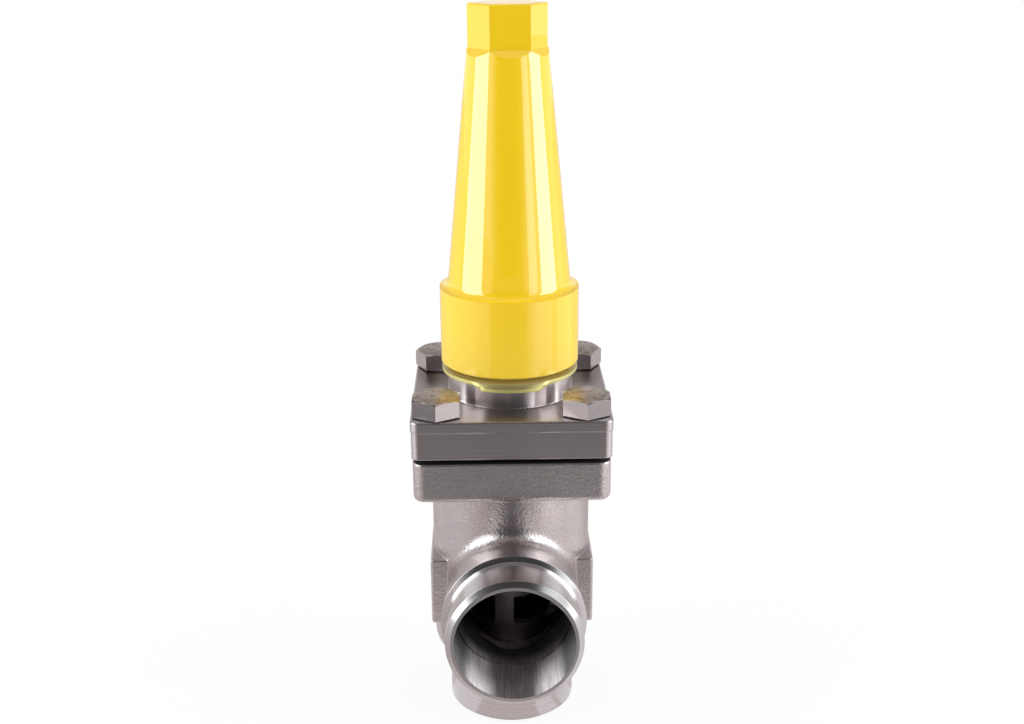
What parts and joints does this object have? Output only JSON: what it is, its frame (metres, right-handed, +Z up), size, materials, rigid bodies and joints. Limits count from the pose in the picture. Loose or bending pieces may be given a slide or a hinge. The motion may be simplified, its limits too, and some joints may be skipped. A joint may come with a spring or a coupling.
{
  "type": "hand expansion valve",
  "caption": "Angle-pattern hand expansion valve: cast body with butt-weld ends, square bolted bonnet, V-port cone on a screwed spindle, and a tall yellow seal cap.",
  "frame": {"origin": "centre of the inlet weld face, on the spindle axis", "axes": "+Z up along the spindle towards the wrench hexagon of the cap, -Y out of the outlet branch, +X to the right when the outlet is seen from the front"},
  "size_m": [0.0907, 0.128, 0.3362],
  "materials": {
    "cast_steel": "cast steel, shot blasted, oiled grey; weld ends turned bright",
    "bonnet_steel": "forged steel, milled edges and turned top, oiled",
    "gasket_fibre": "pressed fibre gasket sheet",
    "bolt_steel": "stainless steel, forged heads",
    "ring_aluminium": "thin sheet, anodised pale gold, bright rim",
    "gland_steel": "turned steel, zinc plated",
    "black_rubber": "chloroprene, satin",
    "white_ptfe": "cut from white PTFE",
    "packing_graphite": "pressed graphite packing",
    "plain_steel": "plain bright steel",
    "cone_steel": "turned steel",
    "skirt_steel": "turned and milled steel, oiled",
    "ball_steel": "polished bearing balls",
    "spindle_steel": "ground stainless steel",
    "cap_nylon": "natural nylon, flat",
    "yellow_paint": "glossy yellow paint on steel"
  },
  "bodies": {
    "housing": {"valve_body": "cast_steel", "bonnet": "bonnet_steel", "bonnet_gasket": "gasket_fibre", "bonnet_bolts": "bolt_steel", "marking_ring": "ring_aluminium", "packing_gland": "gland_steel", "gland_o_ring": "black_rubber", "spindle_o_rings": "black_rubber", "scraper_ring": "white_ptfe", "packing_ring": "packing_graphite", "packing_washer": "plain_steel", "spring_washer": "plain_steel", "back_seat_ring": "plain_steel"},
    "cone": {"cone_disc": "cone_steel", "v_port_skirt": "skirt_steel", "seat_seal_ring": "white_ptfe", "thrust_balls": "ball_steel", "ball_retaining_ring": "plain_steel", "friction_ring": "white_ptfe"},
    "spindle": {"spindle": "spindle_steel"},
    "cap_gasket": {"cap_gasket": "cap_nylon"},
    "seal_cap": {"seal_cap": "yellow_paint"}
  },
  "joints": [
    {"name": "cone_lift", "type": "slide", "parent": "housing", "child": "cone", "axis": [0, 0, 1], "range_m": [-0.0295, 0.0025]},
    {"name": "spindle_turn", "type": "hinge", "parent": "cone", "child": "spindle", "pos_m": [0, 0, 0.093], "axis": [0, 0, 1], "range_deg": [-2655.5, 225.5]},
    {"name": "cap_lift", "type": "slide", "parent": "housing", "child": "cap_gasket", "axis": [0, 0, 1], "range_m": [0, 0.012]},
    {"name": "cap_turn", "type": "hinge", "parent": "cap_gasket", "child": "seal_cap", "pos_m": [0, 0, 0.18], "axis": [0, 0, 1], "range_deg": [-0.5, 2160.5]}
  ],
  "couplings": [
    {"joint": "spindle_turn", "follows": "cone_lift", "rad_per_m": 1570.8},
    {"joint": "cap_turn", "follows": "cap_lift", "rad_per_m": 3141.6}
  ]
}
